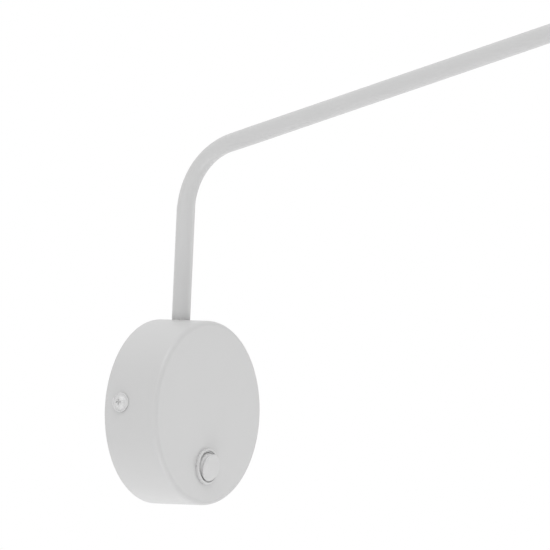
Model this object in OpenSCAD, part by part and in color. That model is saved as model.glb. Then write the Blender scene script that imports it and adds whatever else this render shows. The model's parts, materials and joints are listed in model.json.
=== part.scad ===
// Wall lamp: a round wall canopy with a rocker switch, a bent tube arm that
// swivels in the top of the canopy, and a small dome shade at its end.
// Frame: +Z up, the wall is the plane y = 0, the lamp stands out along -Y, and
// the origin is the centre of the canopy's back, on the wall. Millimetres.

/* [Canopy] */
// Outer diameter of the round canopy
canopy_d = 120; // [112:1:130]
// Depth of the canopy from the wall to its front face
canopy_h = 40.4; // [39:0.1:46]
// Thickness of the canopy's steel sheet
sheet_t = 1.5; // [1.2:0.1:1.8]
// Radius of the canopy's front edge
edge_r = 3.5; // [2:0.5:4]
// Height of the side screws above the canopy's middle, along the rim
screw_rise = 4; // [0:0.5:6]
// Distance of the side screws from the wall
screw_y = 12.5; // [11:0.5:14]

/* [Switch] */
// Height of the switch's centre under the canopy's middle
switch_drop = 34.7; // [32:0.1:38]
// Outer diameter of the switch's bezel
bezel_d = 23.5; // [23:0.1:25]
// Height of the bezel over the front face
bezel_h = 2; // [1.6:0.1:2.4]
// Tilt of the rocker from its middle position to either side
rocker_tilt = 11; // [8:0.5:12]

/* [Arm] */
// Outer diameter of the arm's tube
tube_d = 12; // [11.8:0.1:13]
// Distance of the tube's axis from the wall
tube_y = 15; // [14:0.5:16]
// Radius of the tube's bends, at its centre line
bend_r = 47; // [40:1:55]
// Height of the lower bend's corner, where the two centre lines would cross
corner_z = 166; // [150:1:180]
// Rise of the long arm above the horizontal, in degrees
arm_rise = 17; // [12:1:22]
// Distance of the shade's axis from the wall
reach = 560; // [500:5:620]

/* [Shade] */
// Outer diameter of the shade's mouth
shade_d = 180; // [170:2:200]
// Height of the shade
shade_h = 95; // [92:1:110]
// Thickness of the shade's sheet
shade_t = 1; // [0.8:0.1:1.2]

/* [Mounting] */
// Distance between the two wall screws
wall_pitch = 70; // [66:1:74]
// Diameter of the wall screw holes
wall_hole_d = 5; // [4.5:0.1:5.5]

/* [Hidden] */
$fn = 96;
// the straight runs of a bent tube are a hair thinner than its bends and lap into them
hair = 0.03;
lap = 0.4;
// gap between parts that turn, and between parts that only lie side by side
run_gap = 0.05;
fit_gap = 0.02;
// how far a cutter runs past what it cuts
over = 1;

// rim, swivel stud and what turns with it
canopy_r = canopy_d / 2;
inner_r = canopy_r - sheet_t;
stud_r = 5;
stud_bore_r = 3.25;
run_r = stud_r + run_gap;
key_r = stud_r + fit_gap;
seat_r = 12;
seat_z = inner_r - 3.5;
saddle_top = canopy_r + 0.3;
tube_z = saddle_top + run_gap;
nut_af = 14;
friction_t = 1;
stop_t = 1.5;
spring_t = 1.2;
nut_t = 5;
stop_z = seat_z - run_gap - friction_t;
spring_z = stop_z - stop_t;
nut_z = spring_z - spring_t;
stud_low = nut_z - nut_t - 3;
stud_in_tube = 14;
stop_pin_r = 1.5;
stop_ring_r = 10.3;
swing = 75;
stop_half = swing + asin(stop_pin_r / stop_ring_r) + 1;

// centre line of the arm: down leg, lower bend, straight, upper bend, drop
bend_a = 90 - arm_rise;
bend_z = corner_z - bend_r * tan(bend_a / 2);
low_centre = [0, -tube_y - bend_r, bend_z];
straight = (reach - tube_y - 2 * bend_r) / sin(bend_a);
high_centre = low_centre + straight * [0, -sin(bend_a), cos(bend_a)];
drop = 14;
head_z = high_centre[2] - drop;

// wall bracket
strap_t = 2;
strap_half = 12;
ear_x = 55;
ear_half = 8;
ear_y = 20;
side_tilt = asin(screw_rise / canopy_r);
m4_r = 2;
earth_x = -24;
earth_z = -4;
earth_r = 1.5;

// rocker switch, measured outward from the canopy's front face
pivot_out = -0.6;
face_out = 5;
face_r = 8.95;
skirt = 3;
well_r = face_r + 0.3;
well_deep = 6;
well_wide_r = 10.2;
well_step = 0.8;
body_r = 10;
body_back = 17;
hub_r = 1;
hub_tip = 9.9;
tab_x = 4;
tab_long = 8;

// lamp head, measured down from the tube's lower end
cap_r = 22;
cap_t = 1.2;
cap_h = 39.6;
socket_r = 19;
flange_r = 20.6;
shade_seat = 40;
shade_hole_r = socket_r + 0.2;
neck_r = 25;
bead_r = 1.5;
ring_h = 8;
bulb_r = 30;
bulb_z = 100;
bulb_cap_r = 13;
shell_r = 14;
glass_z = 56;
glass_neck_r = 17;

// terminal block and leads, the poles measured out from the strap
lead_r = 1.1;
core_r = 1.6;
flex_r = 2.5;
block_half = 15;
block_deep = 15;
block_tall = 8;
pole_pitch = 10;
pole_out = 8;
insert_r = 2.7;
clamp_z = 4;
clamp_r = 1.45;
clamp_head_r = 2;

// Puts a shape drawn along +Z on the wall, so that its +Z points out of it
module out_of_wall() {
    rotate([90, 0, 0]) children();
}

// Moves a shape to the arm's vertical axis
module on_swivel(z) {
    translate([0, -tube_y, z]) children();
}

// Moves a shape to the shade's vertical axis, z down from the tube's lower end
module on_head(down) {
    translate([0, -reach, head_z - down]) children();
}

// Moves a shape to the switch's centre on the front face, +Z out of it
module on_switch() {
    translate([0, -canopy_h, -switch_drop]) out_of_wall() children();
}

// Repeats a shape that points along +X at both side screws
module at_sides() {
    for (side = [0, 1])
        mirror([side, 0, 0]) rotate([0, -side_tilt, 0])
            translate([0, -screw_y, 0]) children();
}

// Repeats a shape at the three poles of the terminal block
module at_poles() {
    for (pole = [-1:1]) translate([pole * pole_pitch, -strap_t - pole_out, 0]) children();
}

// Repeats a shape at the two clamp screws of a pole, its +Z out of the wall
module at_clamps() {
    for (z = [-clamp_z, clamp_z]) translate([0, 0, z]) out_of_wall() children();
}

// A flat ring, its lower face at z = 0
module ring(r_out, r_in, t) {
    linear_extrude(t) difference() {
        circle(r_out);
        circle(r_in);
    }
}

// Points of an arc about centre, from angle a to angle b
function corner(centre, r, a, b, n = 8) =
    [for (i = [0:n]) centre + r * [cos(a + (b - a) * i / n), sin(a + (b - a) * i / n)]];

// One straight piece of round tube or rod along +Z
module run(r_out, r_in, length) {
    linear_extrude(length) difference() {
        circle(r_out);
        if (r_in > 0) circle(r_in);
    }
}

// One bend of round tube in the YZ plane, about a centre, from angle a to b
module bend(centre, r_out, r_in, a, b) {
    translate(centre) rotate([90, 0, 90]) rotate([0, 0, a])
        rotate_extrude(angle = b - a) translate([bend_r, 0]) difference() {
            circle(r_out);
            if (r_in > 0) circle(r_in);
        }
}

// Round tube or rod along the arm's centre line, from z = foot to z = tip. The straight
// runs are a hair thinner than the bends and end a little way inside them.
module along_arm(r_out, r_in, foot, tip) {
    thin_out = r_out - hair;
    thin_in = r_in > 0 ? r_in + hair : 0;
    on_swivel(foot) run(thin_out, thin_in, bend_z - foot + lap);
    bend(low_centre, r_out, r_in, 0, bend_a);
    translate(low_centre) rotate([bend_a, 0, 0]) translate([0, bend_r, -lap])
        run(thin_out, thin_in, straight + 2 * lap);
    bend(high_centre, r_out, r_in, bend_a, 180);
    translate([0, -reach, tip]) run(thin_out, thin_in, high_centre[2] - tip + lap);
}

// Frame of a sweep at point i: the tangent of a path of 3-D points
function path_dir(p, i) =
    let (d = p[min(i + 1, len(p) - 1)] - p[max(i - 1, 0)]) d / norm(d);
function side_of(d) =
    let (s = cross(abs(d[0]) > 0.9 ? [0, 1, 0] : [1, 0, 0], d)) s / norm(s);

// A cubic curve from a to b that leaves towards a + u and arrives from b + v
function cubic(a, b, u, v, n = 10) =
    [for (i = [0:n]) let (t = i / n)
        pow(1 - t, 3) * a + 3 * t * pow(1 - t, 2) * (a + u)
        + 3 * t * t * (1 - t) * (b + v) + pow(t, 3) * b];

// A thin insulated lead swept along a path of points
module lead(p, r, sides = 8) {
    n = len(p);
    points = [for (i = [0:n - 1]) let (d = path_dir(p, i), s = side_of(d), u = cross(d, s))
        for (k = [0:sides - 1]) p[i] + r * (cos(k * 360 / sides) * s + sin(k * 360 / sides) * u)];
    skin = [for (i = [0:n - 2]) for (k = [0:sides - 1])
        let (j = (k + 1) % sides)
        [i * sides + k, (i + 1) * sides + k, (i + 1) * sides + j, i * sides + j]];
    first = [for (k = [0:sides - 1]) k];
    last = [for (k = [sides - 1:-1:0]) (n - 1) * sides + k];
    polyhedron(points, concat(skin, [first, last]), convexity = 4);
}

// Hexagon nut, across flats af
module hex_nut(af, r_in, t) {
    linear_extrude(t) difference() {
        circle(af / sqrt(3), $fn = 6);
        circle(r_in);
    }
}

// ---- canopy and wall side ----

// Deep drawn cup, open to the wall
module canopy_cover() {
    edge = [canopy_r - edge_r, canopy_h - edge_r];
    profile = concat([[inner_r, 0], [canopy_r, 0]], corner(edge, edge_r, 0, 90),
        [[0, canopy_h], [0, canopy_h - sheet_t]], corner(edge, edge_r - sheet_t, 90, 0));
    color("gainsboro") difference() {
        out_of_wall() rotate_extrude() polygon(profile);
        on_swivel(inner_r - 3) cylinder(r = run_r, h = 6);
        on_switch() translate([0, 0, -sheet_t - over])
            cylinder(r = body_r + 0.1, h = sheet_t + 2 * over);
        at_sides() translate([inner_r - 3, 0, 0]) rotate([0, 90, 0])
            cylinder(r = m4_r + 0.3, h = 6);
    }
}

// Steel strap against the wall with a tapped ear at each end
module wall_bracket() {
    color("silver") difference() {
        union() {
            translate([-ear_x, -strap_t, -strap_half])
                cube([2 * ear_x, strap_t, 2 * strap_half]);
            at_sides() translate([ear_x - 0.5, screw_y - ear_y, -ear_half])
                cube([strap_t + 0.5, ear_y, 2 * ear_half]);
        }
        for (side = [-1, 1])
            translate([side * wall_pitch / 2, -strap_t - over, 0]) rotate([-90, 0, 0])
                cylinder(d = wall_hole_d, h = strap_t + 2 * over);
        at_sides() translate([ear_x - 2, 0, 0]) rotate([0, 90, 0])
            cylinder(r = m4_r, h = 6);
        translate([earth_x, -strap_t - over, earth_z]) rotate([-90, 0, 0])
            cylinder(r = earth_r, h = strap_t + 2 * over);
    }
}

// Two M4 screws: a round lip, a shallow cone and a raised head with a cross recess
module side_screws() {
    lip_r = 0.5;
    head_top = 3;
    shank = 8;
    slot = [4.8, 0.9, 2];
    head = concat([[0, 0], [6.25, 0]], corner([6.35 - lip_r, 0.5], lip_r, 0, 120, 5),
        [[5.35, 0.8], [3.7, 1.3]], corner([2.7, 2.05], 0.9, 5, 75, 4), [[0, head_top]]);
    color("whitesmoke") at_sides() translate([canopy_r + run_gap, 0, 0]) rotate([0, 90, 0]) {
        difference() {
            rotate_extrude() polygon(head);
            for (turn = [0, 90]) rotate([0, 0, turn])
                translate([-slot[0] / 2, -slot[1] / 2, head_top - 1.3]) cube(slot);
        }
        translate([0, 0, -shank]) cylinder(r = m4_r - run_gap, h = shank);
    }
}

// Solid block that gives the swivel a flat seat inside the curved rim
module seat_block() {
    color("darkgray") difference() {
        intersection() {
            on_swivel(seat_z) cylinder(r = seat_r, h = 6);
            translate([0, sheet_t + over - canopy_h, 0]) rotate([-90, 0, 0])
                cylinder(r = inner_r - fit_gap, h = canopy_h);
        }
        on_swivel(seat_z - over) cylinder(r = run_r, h = 8);
        on_swivel(seat_z - over) translate([0, -stop_ring_r, 0])
            cylinder(r = stop_pin_r, h = over + 1.8);
    }
}

// Pin that limits the swing
module stop_pin() {
    color("silver") on_swivel(spring_z) translate([0, -stop_ring_r, 0])
        cylinder(r = stop_pin_r - 0.01, h = seat_z - spring_z + 1.75);
}

// Nylon washer, curved below to the rim and flat on top
module saddle_washer() {
    color("gainsboro") difference() {
        on_swivel(canopy_r - over)
            cylinder(r = tube_d / 2 - 0.1, h = saddle_top - canopy_r + over);
        translate([0, -canopy_h, 0]) rotate([-90, 0, 0])
            cylinder(r = canopy_r + fit_gap, h = canopy_h, $fn = 720);
        on_swivel(canopy_r - 2) cylinder(r = run_r, h = 4);
    }
}

// Plastic body of the three-pole terminal block
module terminal_block() {
    color("white") difference() {
        translate([-block_half, -strap_t - block_deep, -block_tall])
            cube([2 * block_half, block_deep, 2 * block_tall]);
        at_poles() {
            translate([0, 0, -block_tall - over])
                cylinder(r = insert_r + 0.1, h = 2 * (block_tall + over));
            at_clamps() cylinder(r = clamp_head_r + 0.1, h = 10);
        }
        for (side = [-0.5, 0.5])
            translate([side * pole_pitch - 0.8, -strap_t - block_deep - over, -block_tall - over])
                cube([1.6, 6, 2 * (block_tall + over)]);
    }
}

// Brass tubes that clamp the wires
module terminal_inserts() {
    insert_half = block_tall - 1;
    color("goldenrod") at_poles() difference() {
        translate([0, 0, -insert_half]) cylinder(r = insert_r, h = 2 * insert_half);
        translate([0, 0, -block_tall]) cylinder(r = insert_r - 0.9, h = 2 * block_tall);
        at_clamps() cylinder(r = clamp_r + run_gap, h = 4);
    }
}

// Two clamp screws for each pole
module terminal_screws() {
    long = 2.2;
    color("silver") at_poles() at_clamps() translate([0, 0, 1.2]) difference() {
        union() {
            cylinder(r = clamp_r, h = long);
            translate([0, 0, long - 0.1]) cylinder(r = clamp_head_r, h = long);
        }
        translate([-2.5, -0.3, 2 * long - 0.8]) cube([5, 0.6, 2]);
    }
}

// Screw that holds the earth lead on the bracket
module earth_screw() {
    head_t = 2.2;
    color("goldenrod") translate([earth_x, -strap_t, earth_z]) out_of_wall() difference() {
        union() {
            translate([0, 0, -1.9]) cylinder(r = earth_r - run_gap, h = 2.9);
            translate([0, 0, 0.95]) cylinder(r = 3.5, h = head_t);
        }
        translate([-4, -0.4, head_t]) cube([8, 0.8, 2]);
    }
}

// Ring tongue under the earth screw
module earth_lug() {
    tongue_t = 0.8;
    color("silver") translate([earth_x, -strap_t, earth_z]) out_of_wall() difference() {
        translate([0, 0, run_gap]) {
            cylinder(r = 3.2, h = tongue_t);
            translate([-1, -8, 0]) cube([2, 6, tongue_t]);
        }
        translate([0, 0, -over]) cylinder(r = earth_r + 0.1, h = 3);
    }
}

// Earth lead from the left pole to the lug
module earth_lead() {
    a = [-pole_pitch, -strap_t - pole_out, 0.6 - block_tall];
    b = [earth_x, -strap_t - 0.9 - lead_r, earth_z - 6];
    color("yellowgreen") lead(cubic(a, b, [0, 0, -14], [0, 0, -12], 14), lead_r);
}

// Leads from the middle and right poles to the switch's two tabs
module switch_leads() {
    color("saddlebrown") for (side = [0, 1]) {
        a = [side * pole_pitch, -strap_t - pole_out, 1.4 - block_tall];
        b = [(2 * side - 1) * tab_x, body_back + tab_long + 0.1 - canopy_h, -switch_drop];
        lead(cubic(a, b, [0, 0, -14], [0, 9, 0], 12), lead_r);
    }
}

// Mains flex from the terminal block up to the swivel's axis
module flex_tail() {
    a = [0, -strap_t - pole_out, block_tall - core_r];
    b = [0, -tube_y, stud_low - 3.4];
    color("white") lead(cubic(a, b, [0, 0, 14], [0, 0, -14], 12), core_r, 10);
}

// ---- rocker switch ----

// Moulded switch body: bezel, round well and snap lugs
module switch_housing() {
    lip_r = 0.7;
    inner_lip_r = 0.3;
    outer = concat([[0, -body_back], [body_r - 0.6, -body_back], [body_r, -body_back + 0.6],
        [body_r, 0], [bezel_d / 2 - 0.3, 0], [bezel_d / 2, 0.3]],
        corner([bezel_d / 2 - lip_r, bezel_h - lip_r], lip_r, 0, 90, 5),
        corner([well_wide_r + inner_lip_r, bezel_h - inner_lip_r], inner_lip_r, 90, 180, 3),
        [[well_wide_r, well_step], [well_r, well_step], [well_r, -well_deep], [0, -well_deep]]);
    color("gainsboro") difference() {
        union() {
            on_switch() rotate_extrude() polygon(outer);
            for (side = [-1, 1]) on_switch() translate([-3, side * (body_r + 0.2) - 0.5, -5])
                cube([6, 1, 5 - sheet_t - 0.1]);
        }
        on_switch() translate([-12, 0, pivot_out]) rotate([0, 90, 0])
            cylinder(r = hub_r + run_gap, h = 24);
    }
}

// Two flat tabs at the back of the switch
module switch_terminals() {
    color("silver") for (side = [-1, 1]) on_switch()
        translate([side * tab_x - 0.4, -2.4, -body_back - tab_long]) cube([0.8, 4.8, tab_long]);
}

// Round rocker on two hubs, its upper half out. Its skirt is a band of a ball about the
// hubs, so the gap to the well stays the same as it rocks.
module switch_rocker() {
    face_edge_r = 0.6;
    half_band = asin(skirt / face_r);
    button = concat([[0, -skirt]], corner([0, 0], face_r, -half_band, half_band, 6),
        corner([face_r - face_edge_r, face_out - face_edge_r], face_edge_r, 0, 90, 5),
        [[0, face_out]]);
    color("whitesmoke") on_switch() translate([0, 0, pivot_out]) rotate([rocker_tilt, 0, 0]) {
        rotate_extrude() polygon(button);
        translate([-hub_tip, 0, 0]) rotate([0, 90, 0]) cylinder(r = hub_r, h = 2 * hub_tip);
    }
}

// ---- swivel and arm ----

// Bent tube of the arm
module arm_tube() {
    color("gainsboro") along_arm(tube_d / 2, stud_r, tube_z, head_z);
}

// Hollow stud, fixed in the tube, that turns in the rim
module swivel_stud() {
    color("silver") on_swivel(stud_low)
        run(stud_r - 0.01, stud_bore_r, tube_z + stud_in_tube - stud_low);
}

// Fibre washer that gives the swivel its drag
module friction_washer() {
    color("dimgray") on_swivel(stop_z) ring(8, key_r, friction_t);
}

// Steel washer keyed to the stud, with a wide notch for the stop pin
module stop_washer() {
    color("silver") on_swivel(spring_z) difference() {
        ring(seat_r, key_r, stop_t - fit_gap);
        rotate([0, 0, -90 - stop_half]) translate([0, 0, -1])
            rotate_extrude(angle = 2 * stop_half) translate([8, 0]) square([6, 4]);
    }
}

// Dished spring washer
module spring_washer() {
    color("silver") on_swivel(nut_z) rotate_extrude()
        polygon([[run_r, 0], [7, 0], [8.5, 0.5], [8.5, 1.1], [7.2, 0.9], [run_r, 0.9]]);
}

// Thin nut that loads the spring washer
module swivel_nut() {
    color("silver") on_swivel(nut_z - nut_t) hex_nut(nut_af, key_r, nut_t - fit_gap);
}

// Flex inside the arm, from under the stud to the lampholder
module arm_flex() {
    color("white") along_arm(flex_r, 0, stud_low - 3, head_z - 13.5);
}

// ---- lamp head ----

// Hollow nipple in the tube's end
module head_nipple() {
    color("silver") on_head(11) run(stud_r - 0.01, stud_bore_r, 23);
}

// Painted steel cap over the lampholder
module holder_cap() {
    profile = concat([[key_r, 0], [key_r, -cap_t],
        [cap_r - cap_t, -cap_t], [cap_r - cap_t, -cap_h], [cap_r, -cap_h]],
        corner([cap_r - 2, -2], 2, 0, 90));
    color("gainsboro") on_head(0) rotate_extrude() polygon(profile);
}

// Nut that holds the cap on the nipple
module head_nut() {
    color("silver") on_head(cap_t + 3.5) hex_nut(nut_af, key_r, 3.45);
}

// Moulded lampholder: top, skirt and the shoulder that the shade hangs from
module lampholder_body() {
    profile = [[key_r, -6], [socket_r - 2, -6], [socket_r, -8], [socket_r, -38],
        [flange_r, -38], [flange_r, -shade_seat], [socket_r, -shade_seat], [socket_r, -50],
        [socket_r - 2, -50], [socket_r - 2, -11], [key_r, -11]];
    color("white") on_head(0) rotate_extrude() polygon(profile);
}

// Disc that carries the contacts
module lampholder_insert() {
    color("ivory") on_head(20) difference() {
        cylinder(r = socket_r - 2.1, h = 6);
        translate([-3, -1, -1]) cube([6, 2, 8]);
    }
}

// Thread shell of the lampholder
module lampholder_shell() {
    color("goldenrod") on_head(46) ring(shell_r, shell_r - 0.5, 25.9);
}

// Springy centre contact
module lampholder_contact() {
    color("goldenrod") on_head(21.2) {
        translate([-2.8, -0.8, 0]) cube([0.5, 1.6, 6]);
        translate([-2.8, -1.8, 0]) cube([5, 3.6, 0.4]);
    }
}

// Spun dome, hung from the lampholder, with a rolled edge
module shade() {
    steps = 20;
    half = shade_d / 2 - bead_r;
    fall = shade_h - 2 * bead_r;
    bell = [for (i = [0:steps]) let (t = 90 * i / steps)
        [neck_r + (half - neck_r) * sin(t), -fall * (1 - cos(t))]];
    skin = [for (i = [steps:-1:0]) let (t = 90 * i / steps,
            n = [fall * sin(t), (half - neck_r) * cos(t)])
        bell[i] - shade_t * n / norm(n)];
    bead = corner([half, bead_r - shade_h], bead_r, 75, -200, 14);
    color("gainsboro") on_head(shade_seat) rotate_extrude()
        polygon(concat([[shade_hole_r, 0]], bell, bead, skin, [[shade_hole_r, -shade_t]]));
}

// Threaded ring that clamps the shade from inside
module shade_ring() {
    step_z = ring_h - 3;
    color("white") on_head(shade_seat + shade_t + run_gap + ring_h) rotate_extrude()
        polygon([[socket_r + run_gap, 0], [socket_r + 2.5, 0], [socket_r + 2.5, step_z],
                 [socket_r + 5, step_z], [socket_r + 5, ring_h], [socket_r + run_gap, ring_h]]);
}

// Opal bulb: a ball that narrows to its neck
module bulb_glass() {
    wall = 1;
    shoulder = 40;
    outer = concat(corner([0, -bulb_z], bulb_r, -90, shoulder, 24), [[glass_neck_r, -glass_z]]);
    inner = concat([[glass_neck_r - wall, -glass_z]],
        corner([0, -bulb_z], bulb_r - wall, shoulder, -90, 24));
    color("white") on_head(0) rotate_extrude() polygon(concat(outer, inner));
}

// Plastic base that holds the bulb's electronics
module bulb_base() {
    color("white") on_head(0) rotate_extrude()
        polygon([[0, -44.2], [bulb_cap_r, -44.2], [bulb_cap_r, -46.6], [14.5, -48.5],
                 [glass_neck_r, 0.05 - glass_z], [0, 0.05 - glass_z]]);
}

// Screw cap of the bulb with its centre contact
module bulb_cap() {
    color("silver") on_head(0) rotate_extrude()
        polygon([[0, -21.4], [2.5, -21.4], [4, -22.4], [9, -24], [12, -26],
                 [bulb_cap_r, -27.5], [bulb_cap_r, -44], [0, -44]]);
}

canopy_cover();
wall_bracket();
side_screws();
seat_block();
stop_pin();
saddle_washer();
terminal_block();
terminal_inserts();
terminal_screws();
earth_screw();
earth_lug();
earth_lead();
switch_leads();
flex_tail();
switch_housing();
switch_terminals();
switch_rocker();
arm_tube();
swivel_stud();
friction_washer();
stop_washer();
spring_washer();
swivel_nut();
arm_flex();
head_nipple();
holder_cap();
head_nut();
lampholder_body();
lampholder_insert();
lampholder_shell();
lampholder_contact();
shade();
shade_ring();
bulb_glass();
bulb_base();
bulb_cap();
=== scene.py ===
"""Wall lamp: a round canopy with a rocker switch, a bent tube arm and a dome shade.

Everything is in metres in the CAD's frame: +Z up, the wall is y = 0, the lamp stands out along -Y.
"""
import json
from math import asin, atan2, cos, degrees, e, pi, radians, sin, sqrt

import bmesh
import bpy
from mathutils import Matrix, Vector


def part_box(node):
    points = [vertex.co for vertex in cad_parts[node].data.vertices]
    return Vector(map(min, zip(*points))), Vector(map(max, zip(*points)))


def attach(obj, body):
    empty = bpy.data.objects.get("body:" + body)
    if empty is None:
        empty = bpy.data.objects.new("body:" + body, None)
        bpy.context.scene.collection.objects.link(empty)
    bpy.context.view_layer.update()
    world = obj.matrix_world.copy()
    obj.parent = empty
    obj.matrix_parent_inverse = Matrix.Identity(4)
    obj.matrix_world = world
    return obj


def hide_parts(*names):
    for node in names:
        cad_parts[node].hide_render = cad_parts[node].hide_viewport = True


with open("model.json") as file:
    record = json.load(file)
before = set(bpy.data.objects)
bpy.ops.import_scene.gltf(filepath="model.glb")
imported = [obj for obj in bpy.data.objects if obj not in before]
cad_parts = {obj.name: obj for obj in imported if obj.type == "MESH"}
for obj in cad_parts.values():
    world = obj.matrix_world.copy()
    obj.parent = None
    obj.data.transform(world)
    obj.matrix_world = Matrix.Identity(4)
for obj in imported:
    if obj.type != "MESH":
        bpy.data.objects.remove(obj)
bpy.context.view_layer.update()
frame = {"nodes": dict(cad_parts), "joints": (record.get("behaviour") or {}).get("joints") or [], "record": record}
MM = 0.001

# ---- driving dimensions that the frame's boxes don't give ----
BEND_R = 47 * MM
ARM_RISE = radians(17)
BEND_FLATTENING = 0.098
EDGE_R = 3.5 * MM
SHEET_T = 1.5 * MM
TUBE_WALL = 1 * MM
SCREW_RISE = 4 * MM
SCREW_HOLE_R = 2.3 * MM
SWITCH_HOLE_R = 10.1 * MM
BEZEL_R = 11.75 * MM
BEZEL_H = 2 * MM
WELL_MOUTH_R = 10.2 * MM
FACE_R = 8.95 * MM
WELL_R = FACE_R + 0.3 * MM
SKIRT = 3 * MM
FACE_OUT = 5 * MM
ROCKER_TILT = radians(11)
SHADE_T = 1 * MM
NECK_R = 25 * MM
BEAD_R = 1.5 * MM
SHADE_HOLE_R = 19.2 * MM
CAP_T = 1.2 * MM
LEAD_R = 1.1 * MM
CORD_R = 1.6 * MM
BULB_R = 30 * MM
BULB_NECK_R = 17 * MM
POLE_PITCH = 10 * MM
LEAD_REACH = 14 * MM    # how far a lead runs straight out of its terminal before it bends away
MERGE = 0.002 * MM      # points of a cut mesh that are nearer than this become one

# ---- places worked out from the frame ----
low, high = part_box("canopy_cover")
CANOPY_R = (high.x - low.x) / 2
CANOPY_H = high.y - low.y
low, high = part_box("side_screws")
SCREW_Y = (low.y + high.y) / 2
low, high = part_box("swivel_stud")
SWIVEL = Vector((0, (low.y + high.y) / 2, low.z))
STUD_R = (high.x - low.x) / 2
low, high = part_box("arm_tube")
TUBE_FOOT = low.z
TUBE_R = high.y - SWIVEL.y
REACH = low.y + TUBE_R
HIGH_CENTRE = Vector((0, REACH + BEND_R, high.z - BEND_R - TUBE_R))
ARM_STRAIGHT = (SWIVEL.y - REACH - 2 * BEND_R) / cos(ARM_RISE)
LOW_CENTRE = HIGH_CENTRE + ARM_STRAIGHT * Vector((0, cos(ARM_RISE), -sin(ARM_RISE)))
CAP_LOW, CAP_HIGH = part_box("holder_cap")
SHADE_LOW, SHADE_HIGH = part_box("shade")
GLASS_LOW, GLASS_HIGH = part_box("bulb_glass")
PIVOT = Vector(next(j for j in frame["joints"] if j["name"] == "switch_rock")["pos_m"])

OUT_OF_WALL = Matrix.Rotation(pi / 2, 4, "X")
ON_FRONT = Matrix.Translation((PIVOT.x, -CANOPY_H, PIVOT.z)) @ OUT_OF_WALL
ON_HEAD = Matrix.Translation((0, REACH, 0))


# ---------------------------------------------------------------- mesh helpers
def piece(name, mesh, body, material, nodes=(), sharp=35):
    """A finished object from a mesh that is already in the frame."""
    mesh.shade_smooth()
    mesh.set_sharp_from_angle(angle=radians(sharp))
    obj = bpy.data.objects.new(name, mesh)
    bpy.context.scene.collection.objects.link(obj)
    for one in material if isinstance(material, (list, tuple)) else [material]:
        mesh.materials.append(one)
    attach(obj, body)
    if nodes:
        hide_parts(*nodes)
    return obj


def finish_mesh(bm, name, place=None):
    """Cleans a bmesh, makes a mesh of it and moves that to its place."""
    bmesh.ops.remove_doubles(bm, verts=bm.verts, dist=1e-8)
    bmesh.ops.recalc_face_normals(bm, faces=bm.faces)
    mesh = bpy.data.meshes.new(name)
    bm.to_mesh(mesh)
    bm.free()
    if place is not None:
        mesh.transform(place)
    return mesh


def lathe(outline, steps=128, closed=True, second=()):
    """A bmesh turned about Z from (radius, height) points; closed joins the last to the first.

    The stretches whose numbers are in second take the second material.
    """
    bm = bmesh.new()
    rings = []
    for r, z in outline:
        if r < 1e-9:
            rings.append([bm.verts.new((0, 0, z))] * steps)
        else:
            rings.append([bm.verts.new((r * cos(2 * pi * k / steps), r * sin(2 * pi * k / steps), z))
                          for k in range(steps)])
    pairs = list(zip(rings, rings[1:])) + ([(rings[-1], rings[0])] if closed else [])
    for stretch, (a, b) in enumerate(pairs):
        for k in range(steps):
            n = (k + 1) % steps
            corners = list(dict.fromkeys([a[k], a[n], b[n], b[k]]))
            if len(corners) > 2:
                bm.faces.new(corners).material_index = int(stretch in second)
    return bm


def arc(centre, r, start, end, n=8):
    """Points of an arc about (radius, height) centre, angles in degrees."""
    return [(centre[0] + r * cos(radians(start + (end - start) * i / n)),
             centre[1] + r * sin(radians(start + (end - start) * i / n))) for i in range(n + 1)]


def sweep(path, radii, sides=48, flat=None, inner=None, stripe=None):
    """A tube along a path in 3-D. flat squeezes it in the YZ plane, inner hollows it."""
    bm = bmesh.new()
    last = len(path) - 1
    dirs = [(path[min(i + 1, last)] - path[max(i - 1, 0)]).normalized() for i in range(last + 1)]
    side = dirs[0].orthogonal() if abs(dirs[0].x) > 0.9 else Vector((1, 0, 0))
    shells = []
    for shell in [radii] + ([inner] if inner else []):
        rings = []
        across = side
        for i, p in enumerate(path):
            across = (across - across.dot(dirs[i]) * dirs[i]).normalized()
            other = dirs[i].cross(across)
            squeeze = 1 - (flat[i] if flat else 0)
            rings.append([bm.verts.new(p + shell[i] * (cos(2 * pi * k / sides) * across
                                                       + squeeze * sin(2 * pi * k / sides) * other))
                          for k in range(sides)])
        shells.append(rings)
        for a, b in zip(rings, rings[1:]):
            for k in range(sides):
                face = bm.faces.new([a[k], a[(k + 1) % sides], b[(k + 1) % sides], b[k]])
                if stripe:
                    face.material_index = int(k * stripe / sides) % 2
    for end in (0, -1):
        if inner:
            a, b = shells[0][end], shells[1][end]
            for k in range(sides):
                bm.faces.new([a[k], a[(k + 1) % sides], b[(k + 1) % sides], b[k]])
        else:
            bm.faces.new(shells[0][end])
    return bm


def cubic(a, b, u, v, n=24):
    """A curve that leaves a towards a + u and arrives at b from b + v."""
    def at(t):
        return ((1 - t) ** 3 * a + 3 * t * (1 - t) ** 2 * (a + u)
                + 3 * t * t * (1 - t) * (b + v) + t ** 3 * b)
    return [at(i / n) for i in range(n + 1)]


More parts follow.
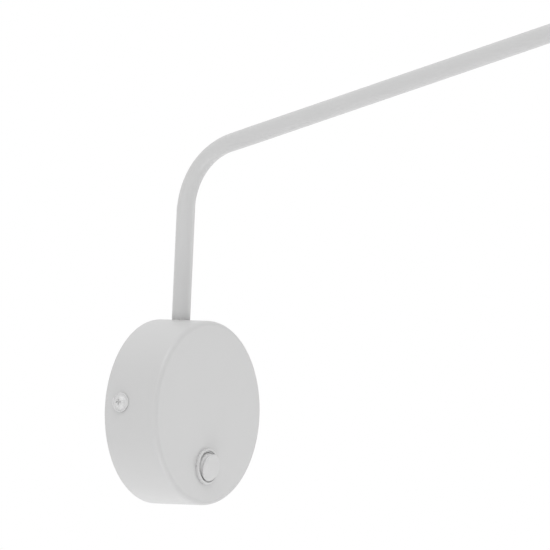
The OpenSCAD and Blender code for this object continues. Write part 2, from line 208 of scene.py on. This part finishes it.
def cut(mesh, *cutters):
    """Takes the cutters' meshes out of a mesh and mends what the cutting leaves behind."""
    target = bpy.data.objects.new("cut_target", mesh)
    bpy.context.scene.collection.objects.link(target)
    tools = []
    for cutter in cutters:
        tool = bpy.data.objects.new("cut_tool", cutter)
        bpy.context.scene.collection.objects.link(tool)
        boolean = target.modifiers.new("cut", "BOOLEAN")
        boolean.object = tool
        boolean.solver = "EXACT"
        tools.append(tool)
    depsgraph = bpy.context.evaluated_depsgraph_get()
    result = bpy.data.meshes.new_from_object(target.evaluated_get(depsgraph))
    for obj in [target] + tools:
        bpy.data.objects.remove(obj)
    bm = bmesh.new()
    bm.from_mesh(result)
    bmesh.ops.remove_doubles(bm, verts=bm.verts, dist=MERGE)
    bmesh.ops.dissolve_degenerate(bm, edges=bm.edges, dist=MERGE)
    bmesh.ops.holes_fill(bm, edges=[edge for edge in bm.edges if edge.is_boundary], sides=4)
    bm.to_mesh(result)
    bm.free()
    return result


def rod(r, length, place, steps=64):
    """A plain round cutter along its own +Z."""
    return finish_mesh(lathe([(0, 0), (r, 0), (r, length), (0, length)], steps, closed=False),
                       "cutter", place)


# ---------------------------------------------------------------- materials
class Nodes:
    """Short names for building a material's node tree."""

    def __init__(self, name):
        self.material = bpy.data.materials.new(name)
        self.material.use_nodes = True
        self.tree = self.material.node_tree
        self.shader = self.tree.nodes["Principled BSDF"]
        self.place = self.add("ShaderNodeTexCoord").outputs["Object"]

    def add(self, kind, links=None, **values):
        """A node with its inputs linked and its settings or input values set."""
        node = self.tree.nodes.new(kind)
        for key, value in values.items():
            if hasattr(node, key):
                setattr(node, key, value)
            else:
                node.inputs[key.replace("_", " ")].default_value = value
        for socket, source in (links or {}).items():
            self.tree.links.new(source, node.inputs[socket])
        return node

    def noise(self, size, detail=2.0, roughness=0.5, stretch=None):
        """Noise whose features are about size metres across."""
        source = self.place
        if stretch:
            source = self.add("ShaderNodeMapping", {"Vector": source}, Scale=stretch).outputs[0]
        return self.add("ShaderNodeTexNoise", {"Vector": source}, Scale=1 / size,
                        Detail=detail, Roughness=roughness).outputs["Fac"]

    def spread(self, source, low, high, start=0.3, end=0.7):
        """Maps a 0 to 1 value between two numbers."""
        node = self.add("ShaderNodeMapRange", {"Value": source})
        for key, value in (("From Min", start), ("From Max", end), ("To Min", low), ("To Max", high)):
            node.inputs[key].default_value = value
        return node.outputs[0]

    def tint(self, source, dark, light):
        """Mixes two colours by a 0 to 1 value."""
        node = self.add("ShaderNodeValToRGB", {"Fac": source})
        node.color_ramp.elements[0].color = (*dark, 1)
        node.color_ramp.elements[1].color = (*light, 1)
        node.color_ramp.elements[0].position = 0.3
        node.color_ramp.elements[1].position = 0.7
        return node.outputs["Color"]

    def bump(self, source, height, strength=1.0, below=None):
        """A bump of that height in metres, on top of another bump if below is given."""
        links = {"Height": source}
        if below is not None:
            links["Normal"] = below
        node = self.add("ShaderNodeBump", links, Strength=strength, Distance=height)
        return node.outputs["Normal"]

    def set(self, **links):
        """Sets or links the shader's inputs and returns the material."""
        for socket, value in links.items():
            name = socket.replace("_", " ")
            if hasattr(value, "is_output"):
                self.tree.links.new(value, self.shader.inputs[name])
            else:
                self.shader.inputs[name].default_value = value
        return self.material


def shade_of(grey, drift, warm=0.0):
    """Two nearly equal colours around a grey."""
    return ((grey - drift, grey - drift, grey - drift - warm),
            (grey + drift, grey + drift, grey + drift - warm))


def powder_coat(name, grey, orange_peel=1.0):
    """Fine matt powder coat: soft orange peel, a fine grain and slightly uneven gloss."""
    n = Nodes(name)
    peel = n.bump(n.noise(1.6 * MM, 3), 0.012 * MM * orange_peel)
    grain = n.bump(n.noise(0.25 * MM, 2), 0.004 * MM, below=peel)
    cloud = n.noise(22 * MM, 4)
    fleck = n.noise(0.5 * MM, 1)
    base = n.tint(cloud, *shade_of(grey, 0.004))
    speck = n.tint(fleck, *shade_of(grey, 0.012))
    mix = n.add("ShaderNodeMix", data_type="RGBA")
    mix.inputs[0].default_value = 0.5
    n.tree.links.new(base, mix.inputs[6])     # this node's colour sockets are 6 and 7 in, 2 out
    n.tree.links.new(speck, mix.inputs[7])
    return n.set(Base_Color=mix.outputs[2], Roughness=n.spread(fleck, 0.33, 0.41),
                 Normal=grain, Specular_IOR_Level=0.5)


def bright_plate():
    """Satin nickel plate with faint hairlines and duller spots."""
    n = Nodes("bright_plate")
    hair = n.noise(0.6 * MM, 3, stretch=(1, 1, 9))
    spots = n.noise(1.3 * MM, 2)
    normal = n.bump(hair, 0.004 * MM)
    return n.set(Base_Color=n.tint(spots, (0.72, 0.72, 0.72), (0.79, 0.79, 0.79)), Metallic=1.0,
                 Roughness=n.spread(spots, 0.70, 0.78), Normal=normal)


def moulded(name, grey, gloss, texture=0.6, warm=0.0):
    """Moulded plastic with a fine spark-eroded texture and slow flow marks."""
    n = Nodes(name)
    flow = n.noise(7 * MM, 3, stretch=(1, 1, 2.5))
    fine = n.noise(0.18 * MM, 2)
    normal = n.bump(fine, 0.003 * MM * texture, below=n.bump(flow, 0.01 * MM))
    return n.set(Base_Color=n.tint(flow, *shade_of(grey, 0.006, warm)),
                 Roughness=n.spread(fine, gloss - 0.04, gloss + 0.05), Normal=normal,
                 Specular_IOR_Level=0.5)


def zinc_steel():
    """Zinc plated steel: bluish clouds, rolling lines and small stains."""
    n = Nodes("zinc_steel")
    lines = n.noise(0.5 * MM, 3, stretch=(0.06, 1, 1))
    clouds = n.noise(5 * MM, 4)
    normal = n.bump(lines, 0.006 * MM)
    return n.set(Base_Color=n.tint(clouds, (0.50, 0.52, 0.55), (0.66, 0.67, 0.68)), Metallic=1.0,
                 Roughness=n.spread(clouds, 0.30, 0.46), Normal=normal)


def brass():
    """Turned brass with lathe lines and a little tarnish."""
    n = Nodes("turned_brass")
    turning = n.noise(0.3 * MM, 2, stretch=(0.2, 0.2, 3))
    tarnish = n.noise(3 * MM, 4)
    return n.set(Base_Color=n.tint(tarnish, (0.55, 0.38, 0.14), (0.78, 0.60, 0.28)), Metallic=1.0,
                 Roughness=n.spread(tarnish, 0.22, 0.4), Normal=n.bump(turning, 0.005 * MM))


def cast_alloy():
    """As-cast zinc alloy, dull and pebbled."""
    n = Nodes("cast_alloy")
    pebble = n.noise(0.7 * MM, 4)
    return n.set(Base_Color=n.tint(pebble, (0.42, 0.42, 0.43), (0.58, 0.58, 0.59)), Metallic=1.0,
                 Roughness=n.spread(pebble, 0.42, 0.6), Normal=n.bump(pebble, 0.03 * MM))


def fibre():
    """Red vulcanised fibre with a short, matted grain."""
    n = Nodes("red_fibre")
    grain = n.noise(0.4 * MM, 5, stretch=(1, 0.3, 1))
    return n.set(Base_Color=n.tint(grain, (0.22, 0.06, 0.04), (0.36, 0.11, 0.07)),
                 Roughness=n.spread(grain, 0.6, 0.8), Normal=n.bump(grain, 0.02 * MM))


def steatite():
    """Unglazed ceramic: chalky, with pores."""
    n = Nodes("steatite")
    pores = n.noise(0.35 * MM, 3)
    return n.set(Base_Color=n.tint(pores, (0.74, 0.71, 0.62), (0.86, 0.84, 0.77)),
                 Roughness=n.spread(pores, 0.65, 0.85), Normal=n.bump(pores, 0.02 * MM))


def sheathing(name, dark, light, gloss=0.4):
    """Extruded PVC with a slight waviness along its length."""
    n = Nodes(name)
    wave = n.noise(1.5 * MM, 2, stretch=(2, 2, 0.4))
    return n.set(Base_Color=n.tint(wave, dark, light), Roughness=n.spread(wave, gloss - 0.06, gloss + 0.08),
                 Normal=n.bump(wave, 0.02 * MM))


def opal_glass():
    """Matt opal bulb: milky body with a soft, slightly uneven skin."""
    n = Nodes("opal_glass")
    milk = n.noise(12 * MM, 3)
    skin = n.noise(0.5 * MM, 2)
    return n.set(Base_Color=n.tint(milk, (0.86, 0.85, 0.82), (0.93, 0.92, 0.89)),
                 Roughness=n.spread(skin, 0.26, 0.36), Normal=n.bump(skin, 0.004 * MM),
                 Subsurface_Weight=0.4, Subsurface_Scale=4 * MM,
                 Subsurface_Radius=(1.0, 0.95, 0.9), Specular_IOR_Level=0.5)


PAINT = powder_coat("powder_coat_grey", 0.600)
ENAMEL = powder_coat("powder_coat_white", 0.83, 0.6)
PLATE = bright_plate()
SWITCH_PLASTIC = moulded("switch_plastic", 0.625, 0.34)
WHITE_PLASTIC = moulded("white_plastic", 0.80, 0.42, 1.0, warm=0.02)
NYLON = moulded("nylon", 0.60, 0.5, 1.2, warm=0.01)
ZINC = zinc_steel()
BRASS = brass()
ALLOY = cast_alloy()
FIBRE = fibre()
STEATITE = steatite()
SHEATH = sheathing("flex_sheath", (0.70, 0.70, 0.68), (0.82, 0.82, 0.80))
BROWN = sheathing("brown_insulation", (0.13, 0.05, 0.02), (0.22, 0.09, 0.04))
GREEN = sheathing("green_insulation", (0.03, 0.18, 0.03), (0.06, 0.27, 0.05))
YELLOW = sheathing("yellow_insulation", (0.62, 0.50, 0.02), (0.78, 0.64, 0.05))
OPAL = opal_glass()

SLOT_MATERIAL = {
    "grey_paint": PAINT, "bright_screw": PLATE, "switch_plastic": SWITCH_PLASTIC,
    "zinc_steel": ZINC, "cast_alloy": ALLOY, "nylon": NYLON, "fibre": FIBRE,
    "white_plastic": WHITE_PLASTIC, "steatite": STEATITE, "brass": BRASS, "flex_sheath": SHEATH,
    "live_insulation": BROWN, "earth_insulation": GREEN, "opal_glass": OPAL,
}


def finish_cad_nodes():
    """Gives every CAD node that stays its material and smooth curved faces."""
    for sub in frame["record"]["subparts"]:
        node = frame["nodes"][sub["node"]]
        node.data.materials.clear()
        node.data.materials.append(SLOT_MATERIAL[sub["material_slot"]])
        node.data.shade_smooth()


# ---------------------------------------------------------------- canopy
def screw_aims():
    """The side screws' frames, right and left: on the canopy's axis, +Z out through the rim."""
    tilt = asin(SCREW_RISE / CANOPY_R)
    return [Matrix.Translation((0, SCREW_Y, 0)) @ Matrix.Rotation(-turn, 4, "Y")
            @ Matrix.Rotation(pi / 2, 4, "Y") for turn in (tilt, pi - tilt)]


def canopy():
    """Deep drawn cup with a rolled front edge and its four holes."""
    inner = CANOPY_R - SHEET_T
    back_edge = 0.3 * MM
    outline = ([(inner, 0), (CANOPY_R - back_edge, 0)]
               + arc((CANOPY_R - back_edge, back_edge), back_edge, -90, 0, 4)[1:]
               + arc((CANOPY_R - EDGE_R, CANOPY_H - EDGE_R), EDGE_R, 0, 90, 12)
               + [(0.4 * CANOPY_R, CANOPY_H), (0, CANOPY_H), (0, CANOPY_H - SHEET_T)]
               + arc((CANOPY_R - EDGE_R, CANOPY_H - EDGE_R), EDGE_R - SHEET_T, 90, 0, 8))
    shell = finish_mesh(lathe(outline, 256), "canopy", OUT_OF_WALL)
    depth = 8 * MM
    start = inner - 3 * MM
    cutters = [
        rod(STUD_R + 0.06 * MM, depth, Matrix.Translation((0, SWIVEL.y, start))),
        rod(SWITCH_HOLE_R, 6 * MM, ON_FRONT @ Matrix.Translation((0, 0, -4 * MM)), 96),
    ]
    for aim in screw_aims():
        cutters.append(rod(SCREW_HOLE_R, depth, aim @ Matrix.Translation((0, 0, start))))
    piece("canopy_shell", cut(shell, *cutters), "canopy", PAINT,
          ["canopy_cover"], sharp=30)


def side_screws():
    """Two plated screws: a round lip, a groove and a low dome with a cross recess."""
    head = ([(0, -7 * MM), (1.9 * MM, -7 * MM), (1.95 * MM, 0), (6.0 * MM, 0), (6.25 * MM, 0.15 * MM)]
            + arc((5.85 * MM, 0.55 * MM), 0.45 * MM, -20, 125, 10)
            + [(r * MM, z * MM) for r, z in (
                (5.35, 0.74), (5.0, 0.72), (4.6, 0.88), (4.2, 1.2), (3.8, 1.68), (3.4, 2.12),
                (2.9, 2.5), (2.2, 2.8), (1.2, 2.96), (0, 3.0))])
    for aim, spin, name in zip(screw_aims(), (10, 3), ("screw_right", "screw_left")):
        place = (aim @ Matrix.Translation((0, 0, CANOPY_R + 0.05 * MM))
                 @ Matrix.Rotation(radians(spin), 4, "Z"))
        body = finish_mesh(lathe(head, 96, closed=False), "screw", place)
        wings = [finish_mesh(recess_wing(), "wing", place @ Matrix.Rotation(k * pi / 2, 4, "Z"))
                 for k in range(2)]
        piece(name, cut(body, *wings), "canopy", PLATE, ["side_screws"], sharp=28)


def recess_wing():
    """One bar of the cross recess: pointed ends, wide at the mouth, narrow at the bottom."""
    bm = bmesh.new()
    rings = []
    for z, long, wide in ((3.2 * MM, 3.1 * MM, 0.75 * MM), (1.9 * MM, 2.0 * MM, 0.12 * MM)):
        rings.append([bm.verts.new((x * long, y * wide, z)) for x, y in
                      ((-1, 0), (-0.6, -1), (0.6, -1), (1, 0), (0.6, 1), (-0.6, 1))])
    bm.faces.new(rings[0])
    bm.faces.new(rings[1])
    for k in range(6):
        n = (k + 1) % 6
        bm.faces.new([rings[0][k], rings[0][n], rings[1][n], rings[1][k]])
    return bm


# ---------------------------------------------------------------- switch
def switch():
    """Bezel and well, and the round rocker with its softened edge."""
    lip = 0.75 * MM
    back = -17 * MM
    body_r = 10 * MM
    outline = ([(0, back), (body_r - 0.6 * MM, back), (body_r, back + 0.6 * MM), (body_r, 0),
                (BEZEL_R - 0.15 * MM, 0), (BEZEL_R, 0.15 * MM)]
               + arc((BEZEL_R - lip, BEZEL_H - lip), lip, 0, 90, 10)
               + arc((WELL_MOUTH_R + 0.35 * MM, BEZEL_H - 0.35 * MM), 0.35 * MM, 90, 180, 6)
               + [(WELL_MOUTH_R, 0.9 * MM), (WELL_MOUTH_R - 0.1 * MM, 0.8 * MM),
                  (WELL_R + 0.1 * MM, 0.8 * MM), (WELL_R, 0.7 * MM), (WELL_R, -6 * MM), (0, -6 * MM)])
    housing = finish_mesh(lathe(outline, 160, closed=False), "housing", ON_FRONT)
    hub_hole = rod(1.05 * MM, 24 * MM, Matrix.Translation((-12 * MM, PIVOT.y, PIVOT.z))
                   @ Matrix.Rotation(pi / 2, 4, "Y"), 32)
    piece("switch_body", cut(housing, hub_hole), "canopy", SWITCH_PLASTIC,
          ["switch_housing"], sharp=30)
    lugs()

    edge = 0.7 * MM
    band = degrees(asin(SKIRT / FACE_R))
    button = ([(0, -SKIRT)] + arc((0, 0), FACE_R, -band, band, 10)
              + arc((FACE_R - edge, FACE_OUT - edge), edge, -8, 82, 10)
              + [(FACE_R * 0.8, FACE_OUT - 0.05 * MM), (FACE_R * 0.4, FACE_OUT - 0.16 * MM),
                 (0, FACE_OUT - 0.2 * MM)])
    place = (Matrix.Translation(PIVOT) @ OUT_OF_WALL @ Matrix.Rotation(ROCKER_TILT, 4, "X"))
    mesh = finish_mesh(lathe(button, 128, closed=False), "rocker", place)
    piece("rocker_button", mesh, "rocker", SWITCH_PLASTIC, ["switch_rocker"], sharp=30)
    hub_r, hub_end, chamfer = 1 * MM, 9.9 * MM, 0.2 * MM
    hubs = lathe([(0, -hub_end), (hub_r - chamfer, -hub_end), (hub_r, chamfer - hub_end),
                  (hub_r, hub_end - chamfer), (hub_r - chamfer, hub_end), (0, hub_end)],
                 32, closed=False)
    mesh = finish_mesh(hubs, "hubs", Matrix.Translation(PIVOT) @ Matrix.Rotation(pi / 2, 4, "Y"))
    piece("rocker_hubs", mesh, "rocker", SWITCH_PLASTIC, sharp=30)


def lugs():
    """Two snap lugs that hold the switch behind the sheet."""
    bm = bmesh.new()
    for side in (-1, 1):
        lug = bmesh.ops.create_cube(bm, size=1, matrix=Matrix.Translation((0, side * 10.2 * MM, -3.3 * MM))
                                    @ Matrix.Diagonal((6 * MM, 1 * MM, 3.4 * MM, 1)))
        for vert in lug["verts"]:
            if vert.co.z < -4 * MM:
                vert.co.y -= side * 0.5 * MM
    bmesh.ops.bevel(bm, geom=bm.edges[:], offset=0.15 * MM, segments=2, affect="EDGES")
    piece("switch_lugs", finish_mesh(bm, "lugs", ON_FRONT), "canopy", SWITCH_PLASTIC)


# ---------------------------------------------------------------- arm
def arm_path():
    """Centre line of the tube, with how much of the bend's flattening each point has."""
    points, squeeze = [], []
    foot = Vector((0, SWIVEL.y, TUBE_FOOT))
    for i in range(13):
        points.append(foot + Vector((0, 0, (LOW_CENTRE.z - TUBE_FOOT) * i / 12)))
        squeeze.append(0)
    turns = ((LOW_CENTRE, 0, pi / 2 - ARM_RISE, 40), (HIGH_CENTRE, pi / 2 - ARM_RISE, pi, 56))
    for centre, start, end, steps in turns:
        for i in range(steps + 1):
            t = i / steps
            a = start + (end - start) * t
            points.append(centre + BEND_R * Vector((0, cos(a), sin(a))))
            squeeze.append(BEND_FLATTENING * min(1, sin(pi * t) ** 0.5 * 1.02))
        if centre is LOW_CENTRE:
            far = HIGH_CENTRE + BEND_R * Vector((0, cos(end), sin(end)))
            near = points[-1]
            for i in range(1, 24):
                points.append(near.lerp(far, i / 24))
                squeeze.append(0)
    drop_foot = Vector((0, REACH, CAP_HIGH.z))
    start = points[-1]
    for i in range(1, 5):
        points.append(start.lerp(drop_foot, i / 4))
        squeeze.append(0)
    distinct = [0] + [i for i in range(1, len(points)) if (points[i] - points[i - 1]).length > 1e-6]
    return [points[i] for i in distinct], [squeeze[i] for i in distinct]


def arm_tube():
    """Bent tube, a little flattened in its bends, with eased ends."""
    path, squeeze = arm_path()
    radii = [TUBE_R] * len(path)
    inner = [TUBE_R - TUBE_WALL] * len(path)
    ease = 0.08 * MM
    for end, step in ((0, 1), (-1, -1)):
        along = (path[end + step] - path[end]).normalized()
        path.insert(1 if end == 0 else len(path) - 1, path[end] + along * ease)
        squeeze.insert(1, 0)
        radii.insert(0 if end == 0 else len(radii), TUBE_R - ease)
        inner.insert(0 if end == 0 else len(inner), TUBE_R - TUBE_WALL)
    mesh = finish_mesh(sweep(path, radii, 64, squeeze, inner), "tube")
    piece("arm_tube_bent", mesh, "arm", PAINT, ["arm_tube"], sharp=50)


# ---------------------------------------------------------------- head
def holder_cap():
    """Spun cap over the lampholder with a soft shoulder and an open lower edge."""
    height = CAP_HIGH.z - CAP_LOW.z
    r = (CAP_HIGH.x - CAP_LOW.x) / 2
    shoulder = 2.5 * MM
    outline = ([(STUD_R + 0.03 * MM, 0), (STUD_R + 0.03 * MM, -CAP_T)]
               + arc((r - shoulder, -shoulder), shoulder - CAP_T, 90, 0, 8)
               + [(r - CAP_T, -height + 0.2 * MM), (r - CAP_T + 0.2 * MM, -height),
                  (r - 0.2 * MM, -height), (r, -height + 0.2 * MM)]
               + arc((r - shoulder, -shoulder), shoulder, 0, 90, 10))
    place = Matrix.Translation((0, REACH, CAP_HIGH.z))
    piece("lampholder_cap", finish_mesh(lathe(outline, 128), "cap", place), "arm",
          PAINT, ["holder_cap"], sharp=30)


def shade():
    """Spun dome with a rolled bead, grey outside and white inside."""
    mouth_r = (SHADE_HIGH.x - SHADE_LOW.x) / 2
    height = SHADE_HIGH.z - SHADE_LOW.z
    half = mouth_r - BEAD_R
    fall = height - 2 * BEAD_R
    steps = 40
    bell, skin = [], []
    for i in range(steps + 1):
        t = pi / 2 * i / steps
        r, z = NECK_R + (half - NECK_R) * sin(t), -fall * (1 - cos(t))
        nr, nz = fall * sin(t), (half - NECK_R) * cos(t)
        length = sqrt(nr * nr + nz * nz)
        bell.append((r, z))
        skin.append((r - SHADE_T * nr / length, z - SHADE_T * nz / length))
    bead = arc((half, BEAD_R - height), BEAD_R, 75, -200, 20)
    outline = [(SHADE_HOLE_R, 0)] + bell + bead + skin[::-1] + [(SHADE_HOLE_R, -SHADE_T)]
    inside = range(1 + len(bell) + len(bead) - 3, len(outline))
    bm = lathe(outline, 192, second=inside)
    place = Matrix.Translation((0, REACH, SHADE_HIGH.z))
    piece("shade_dome", finish_mesh(bm, "shade", place), "arm", [PAINT, ENAMEL],
          ["shade"], sharp=40)


def bulb():
    """Opal bulb and its ribbed plastic base."""
    centre = GLASS_LOW.z + BULB_R
    neck = GLASS_HIGH.z
    wall = 1 * MM
    high_angle = 40
    outer = arc((0, centre), BULB_R, -90, high_angle, 40)
    outer += smooth_neck(outer[-1], (BULB_NECK_R, neck))
    inner = [(max(r - wall, 0), z + (wall if r < 1e-6 else 0)) for r, z in outer[::-1]]
    mesh = finish_mesh(lathe([(0, centre - BULB_R)] + outer[1:] + inner[:-1]
                             + [(0, centre - BULB_R + wall)], 128, closed=False), "bulb", ON_HEAD)
    piece("bulb_globe", mesh, "arm", OPAL, ["bulb_glass"], sharp=40)

    low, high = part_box("bulb_base")
    top_r = 13 * MM
    base = [(0, high.z), (top_r, high.z), (top_r, high.z - 2.4 * MM),
            (14.5 * MM, high.z - 4.3 * MM), (BULB_NECK_R, low.z), (0, low.z)]
    steps, per_rib, groove = 144, 4, 0.02
    bm = lathe(base, steps, closed=False)
    for vert in bm.verts:
        if sqrt(vert.co.x ** 2 + vert.co.y ** 2) > 14 * MM:
            around = round(steps * (pi + atan2(vert.co.y, vert.co.x)) / (2 * pi))
            vert.co.xy *= 1 - (groove if around % per_rib in (0, 1) else 0)
    piece("bulb_collar", finish_mesh(bm, "base", ON_HEAD), "arm", WHITE_PLASTIC,
          ["bulb_base"], sharp=30)


def smooth_neck(start, end, n=10):
    """Points that ease from the ball into the straight neck."""
    points = []
    for i in range(1, n + 1):
        t = i / n
        ease = t * t * (3 - 2 * t)
        points.append((start[0] + (end[0] - start[0]) * (0.55 * t + 0.45 * ease * (2 - t)) ** 0.9
                       if i < n else end[0], start[1] + (end[1] - start[1]) * t))
    return points


# ---------------------------------------------------------------- leads
def leads():
    """The insulated leads inside the canopy, on the CAD's own routes."""
    block_low, block_high = (corner.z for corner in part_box("terminal_block"))
    pole_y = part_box("terminal_inserts")[0].y + 2.7 * MM
    down, up = Vector((0, 0, -LEAD_REACH)), Vector((0, 0, LEAD_REACH))
    for side in (0, 1):
        a = Vector((side * POLE_PITCH, pole_y, block_low + 1.4 * MM))
        b = Vector(((2 * side - 1) * 4 * MM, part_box("switch_terminals")[1].y + 0.1 * MM, PIVOT.z))
        path = cubic(a, b, down, Vector((0, 9 * MM, 0)))
        mesh = finish_mesh(sweep(path, [LEAD_R * 0.98] * len(path), 16), "lead")
        piece(f"switch_lead_{side + 1}", mesh, "canopy", BROWN,
              ["switch_leads"] if side == 0 else [], sharp=50)
    a = Vector((-POLE_PITCH, pole_y, block_low + 0.6 * MM))
    lug_low, lug_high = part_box("earth_lug")
    b = Vector(((lug_low.x + lug_high.x) / 2, lug_low.y - 0.05 * MM - LEAD_R, -10 * MM))
    path = cubic(a, b, down, Vector((0, 0, -12 * MM)))
    mesh = finish_mesh(sweep(path, [LEAD_R * 0.98] * len(path), 16, stripe=4), "lead")
    piece("earth_wire", mesh, "canopy", [GREEN, YELLOW], ["earth_lead"], sharp=50)
    a = Vector((0, pole_y, block_high - 1.6 * MM))
    b = Vector((0, SWIVEL.y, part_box("flex_tail")[1].z))
    path = cubic(a, b, up, down)
    mesh = finish_mesh(sweep(path, [CORD_R * 0.98] * len(path), 20), "tail")
    piece("flex_end", mesh, "canopy", SHEATH, ["flex_tail"], sharp=50)


# ---------------------------------------------------------------- stage, light, camera
def floor():
    """A plain pale round floor, low and small enough to let light reach the lamp from below."""
    level, radius = -1.2, 1.3
    mesh = finish_mesh(lathe([(0, 0), (0.4, 0), (0.8, 0), (radius, 0)], 96, closed=False), "floor",
                       Matrix.Translation((0, -0.28, level)))
    n = Nodes("pale_floor")
    n.set(Base_Color=n.tint(n.noise(0.02, 4), (0.86, 0.86, 0.86), (0.88, 0.88, 0.88)), Roughness=0.7)
    obj = bpy.data.objects.new("floor", mesh)
    bpy.context.scene.collection.objects.link(obj)
    mesh.materials.append(n.material)


# The surroundings' light: an even part, its rise along each axis, and soft sources around the
# lamp, each with its direction, how narrow it is and how bright.
EVEN = 0.77
SLOPE = (0.08, 0.16, -0.32)
GLOW = (((0.82, -0.57, 0.0), 30, 1.3), ((-0.40, -0.29, 0.87), 30, 4.2),
        ((0.05, -0.86, 0.5), 12, 0.15), ((0.05, -0.86, -0.5), 12, 0.3),
        ((-0.97, -0.05, 0.0), 12, 0.3), ((0.0, 0.0, 1.0), 3, 0.5))


def studio():
    """White surroundings, brighter low down, with soft sources above, right, in front and left."""
    world = bpy.data.worlds.new("studio")
    bpy.context.scene.world = world
    world.use_nodes = True
    tree = world.node_tree
    base = tree.nodes["Background"]
    direction = tree.nodes.new("ShaderNodeTexCoord").outputs["Generated"]

    def maths(kind, a, b, c=0.0):
        node = tree.nodes.new("ShaderNodeMath")
        node.operation = kind
        for socket, value in zip(node.inputs, (a, b, c)):
            if hasattr(value, "is_output"):
                tree.links.new(value, socket)
            else:
                socket.default_value = value
        return node.outputs[0]

    def along(axis):
        node = tree.nodes.new("ShaderNodeVectorMath")
        node.operation = "DOT_PRODUCT"
        tree.links.new(direction, node.inputs[0])
        node.inputs[1].default_value = axis
        return node.outputs["Value"]

    total = maths("ADD", along(SLOPE), EVEN)
    for axis, narrow, more in GLOW:
        axis = tuple(Vector(axis).normalized())
        lobe = maths("POWER", e, maths("MULTIPLY_ADD", along(axis), narrow, -narrow))
        total = maths("MULTIPLY_ADD", lobe, more, total)
    tree.links.new(total, base.inputs["Strength"])
    base.inputs["Color"].default_value = (1, 1, 1, 1)
    plain = tree.nodes.new("ShaderNodeBackground")
    plain.inputs["Color"].default_value = (1, 1, 1, 1)
    mix = tree.nodes.new("ShaderNodeMixShader")
    seen = tree.nodes.new("ShaderNodeLightPath").outputs["Is Camera Ray"]
    tree.links.new(seen, mix.inputs[0])
    tree.links.new(base.outputs[0], mix.inputs[1])
    tree.links.new(plain.outputs[0], mix.inputs[2])
    tree.links.new(mix.outputs[0], tree.nodes["World Output"].inputs["Surface"])
    bpy.context.scene.view_settings.view_transform = "Standard"

    bounce = bpy.data.lights.new("bounce", "AREA")
    bounce.energy = 2.45
    bounce.size = 0.45
    lamp = bpy.data.objects.new("bounce", bounce)
    spot = Vector((-0.5, -0.45, -1.05))
    lamp.location = spot
    lamp.rotation_euler = (Vector((0, -0.1, 0.1)) - spot).to_track_quat("-Z", "Y").to_euler()
    bpy.context.scene.collection.objects.link(lamp)


CAMERA_AZIMUTH = radians(-55.04)
CAMERA_ELEVATION = radians(-1.19)
CAMERA_ROLL = radians(2.55)
CAMERA_DISTANCE = 12.0
FRAME_WIDTH = 0.3578
AIM_RIGHT = 0.05977
AIM_UP = 0.08928
SENSOR = 36.0


def camera():
    """A long lens from the lamp's left front, just under level, with the head outside the frame."""
    data = bpy.data.cameras.new("camera")
    data.sensor_width = SENSOR
    data.lens = SENSOR * CAMERA_DISTANCE / FRAME_WIDTH
    data.clip_start = 0.1
    data.clip_end = 100
    back = Vector((sin(CAMERA_AZIMUTH) * cos(CAMERA_ELEVATION),
                   -cos(CAMERA_AZIMUTH) * cos(CAMERA_ELEVATION), sin(CAMERA_ELEVATION)))
    level = Vector((cos(CAMERA_AZIMUTH), sin(CAMERA_AZIMUTH), 0))
    upright = back.cross(level)
    right = cos(CAMERA_ROLL) * level + sin(CAMERA_ROLL) * upright
    up = cos(CAMERA_ROLL) * upright - sin(CAMERA_ROLL) * level
    middle = Vector((0, -0.02, 0)) + AIM_RIGHT * right + AIM_UP * up
    turn = Matrix((right, up, back)).transposed().to_4x4()
    obj = bpy.data.objects.new("camera", data)
    obj.matrix_world = Matrix.Translation(middle + CAMERA_DISTANCE * back) @ turn
    bpy.context.scene.collection.objects.link(obj)
    bpy.context.scene.camera = obj


finish_cad_nodes()
canopy()
side_screws()
switch()
arm_tube()
holder_cap()
shade()
bulb()
leads()
floor()
studio()
camera()
